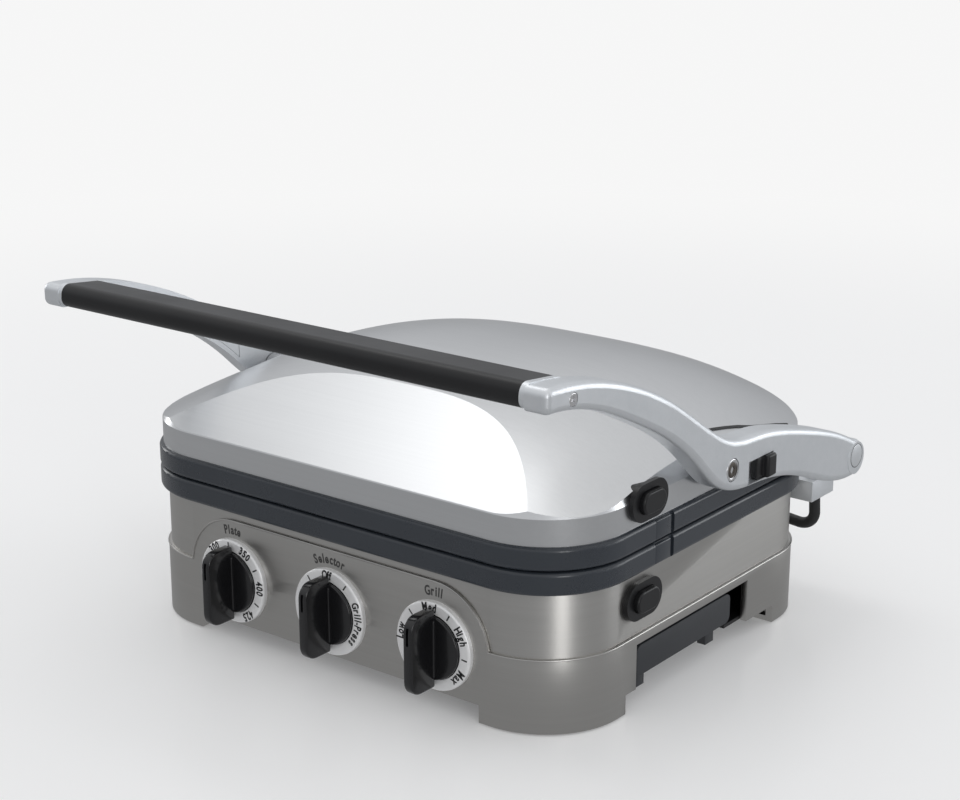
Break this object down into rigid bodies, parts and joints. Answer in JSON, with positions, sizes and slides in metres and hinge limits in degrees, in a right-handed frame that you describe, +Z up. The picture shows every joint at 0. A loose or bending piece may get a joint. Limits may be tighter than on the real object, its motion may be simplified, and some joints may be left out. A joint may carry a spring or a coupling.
{
  "type": "panini press",
  "caption": "Contact grill with a domed lid floating between two curved arms joined by a grip bar, dial controls in front, and a side drip tray.",
  "frame": {"origin": "on the table, under the centre of the whole grill's bounding box", "axes": "+X to the right of someone facing the dials, +Y to the rear hinge, +Z up"},
  "size_m": [0.3354, 0.3081, 0.1952],
  "materials": {
    "base_metal": "satin nickel coating, fine vertical brush",
    "lid_steel": "brushed stainless sheet",
    "arm_silver": "satin silver coating on casting",
    "slate": "satin slate moulding",
    "black_plastic": "gloss black moulding",
    "grip_black": "satin black moulding",
    "chrome": "bright plated",
    "steel": "plain steel",
    "plate_cast": "dark non-stick coating on cast aluminium",
    "heater_alloy": "oxidised alloy tube",
    "pan_metal": "aluminised sheet",
    "rubber": "soft black rubber",
    "inner_plastic": "natural heat-resistant moulding",
    "cable": "black cable sheath",
    "tray_plastic": "charcoal moulding"
  },
  "bodies": {
    "base": {"base_housing": "base_metal", "bottom_cover": "grip_black", "foot_pads": "rubber", "cover_screws": "steel", "lower_trim": "slate", "lower_cooking_plate": "plate_cast", "lower_heating_element": "heater_alloy", "lower_reflector": "pan_metal", "left_dial_ring": "chrome", "middle_dial_ring": "chrome", "right_dial_ring": "chrome", "left_thermostat": "inner_plastic", "right_thermostat": "inner_plastic", "selector_switch": "inner_plastic", "lower_release_guide": "slate", "lower_release_spring": "steel", "left_hinge_bracket": "arm_silver", "right_hinge_bracket": "arm_silver", "front_tray_rail": "steel", "rear_tray_rail": "steel", "lid_lead": "cable", "lead_gland": "grip_black", "mains_gland": "grip_black", "terminal_block": "inner_plastic"},
    "handle": {"left_hinge_pin": "steel", "right_hinge_pin": "steel", "left_arm": "arm_silver", "right_arm": "arm_silver", "left_arm_cover": "arm_silver", "right_arm_cover": "arm_silver", "left_hinge_cap": "arm_silver", "right_hinge_cap": "arm_silver", "left_pivot_screw": "chrome", "right_pivot_screw": "chrome", "arm_screws": "chrome", "grip_bar": "grip_black", "grip_core": "steel"},
    "lid": {"lid_cover": "lid_steel", "lid_frame": "steel", "upper_trim": "slate", "upper_cooking_plate": "plate_cast", "upper_heating_element": "heater_alloy", "upper_reflector": "pan_metal", "upper_release_guide": "slate", "upper_release_spring": "steel", "left_pivot_boss": "steel", "right_pivot_boss": "steel"},
    "upper_button": {"upper_release_button": "slate", "upper_release_latch": "steel"},
    "lower_button": {"lower_release_button": "slate", "lower_release_latch": "steel"},
    "lever": {"hinge_release_lever": "grip_black"},
    "tray": {"drip_tray": "tray_plastic"},
    "left_control": {"left_knob": "black_plastic", "left_control_stem": "steel"},
    "selector": {"middle_knob": "black_plastic", "middle_control_stem": "steel"},
    "right_control": {"right_knob": "black_plastic", "right_control_stem": "steel"}
  },
  "joints": [
    {"name": "handle_open", "type": "hinge", "parent": "base", "child": "handle", "pos_m": [0, 0.14345, 0.086], "axis": [-1, 0, 0], "range_deg": [0, 174]},
    {"name": "lid_level", "type": "hinge", "parent": "handle", "child": "lid", "pos_m": [0, 0.00685, 0.1153], "axis": [-1, 0, 0], "range_deg": [-8, 0]},
    {"name": "upper_release", "type": "slide", "parent": "lid", "child": "upper_button", "axis": [-1, 0, 0], "range_m": [0, 0.003], "stiffness_N_per_m": 400, "deforming": ["upper_release_spring"]},
    {"name": "lower_release", "type": "slide", "parent": "base", "child": "lower_button", "axis": [-1, 0, 0], "range_m": [0, 0.003], "stiffness_N_per_m": 400, "deforming": ["lower_release_spring"]},
    {"name": "hinge_lever_slide", "type": "slide", "parent": "handle", "child": "lever", "axis": [0, -1, 0], "range_m": [0, 0.008], "stiffness_N_per_m": 200},
    {"name": "tray_slide", "type": "slide", "parent": "base", "child": "tray", "axis": [1, 0, 0], "range_m": [0, 0.17]},
    {"name": "left_knob_turn", "type": "hinge", "parent": "base", "child": "left_control", "pos_m": [-0.07, -0.12355, 0.0357], "axis": [0, 1, 0], "range_deg": [-135, 135]},
    {"name": "selector_turn", "type": "hinge", "parent": "base", "child": "selector", "pos_m": [0, -0.12355, 0.0357], "axis": [0, 1, 0], "range_deg": [-90, 90]},
    {"name": "right_knob_turn", "type": "hinge", "parent": "base", "child": "right_control", "pos_m": [0.07, -0.12355, 0.0357], "axis": [0, 1, 0], "range_deg": [-135, 135]}
  ],
  "couplings": [
    {"joint": "lid_level", "follows": "handle_open", "ratio": -0.045977}
  ]
}
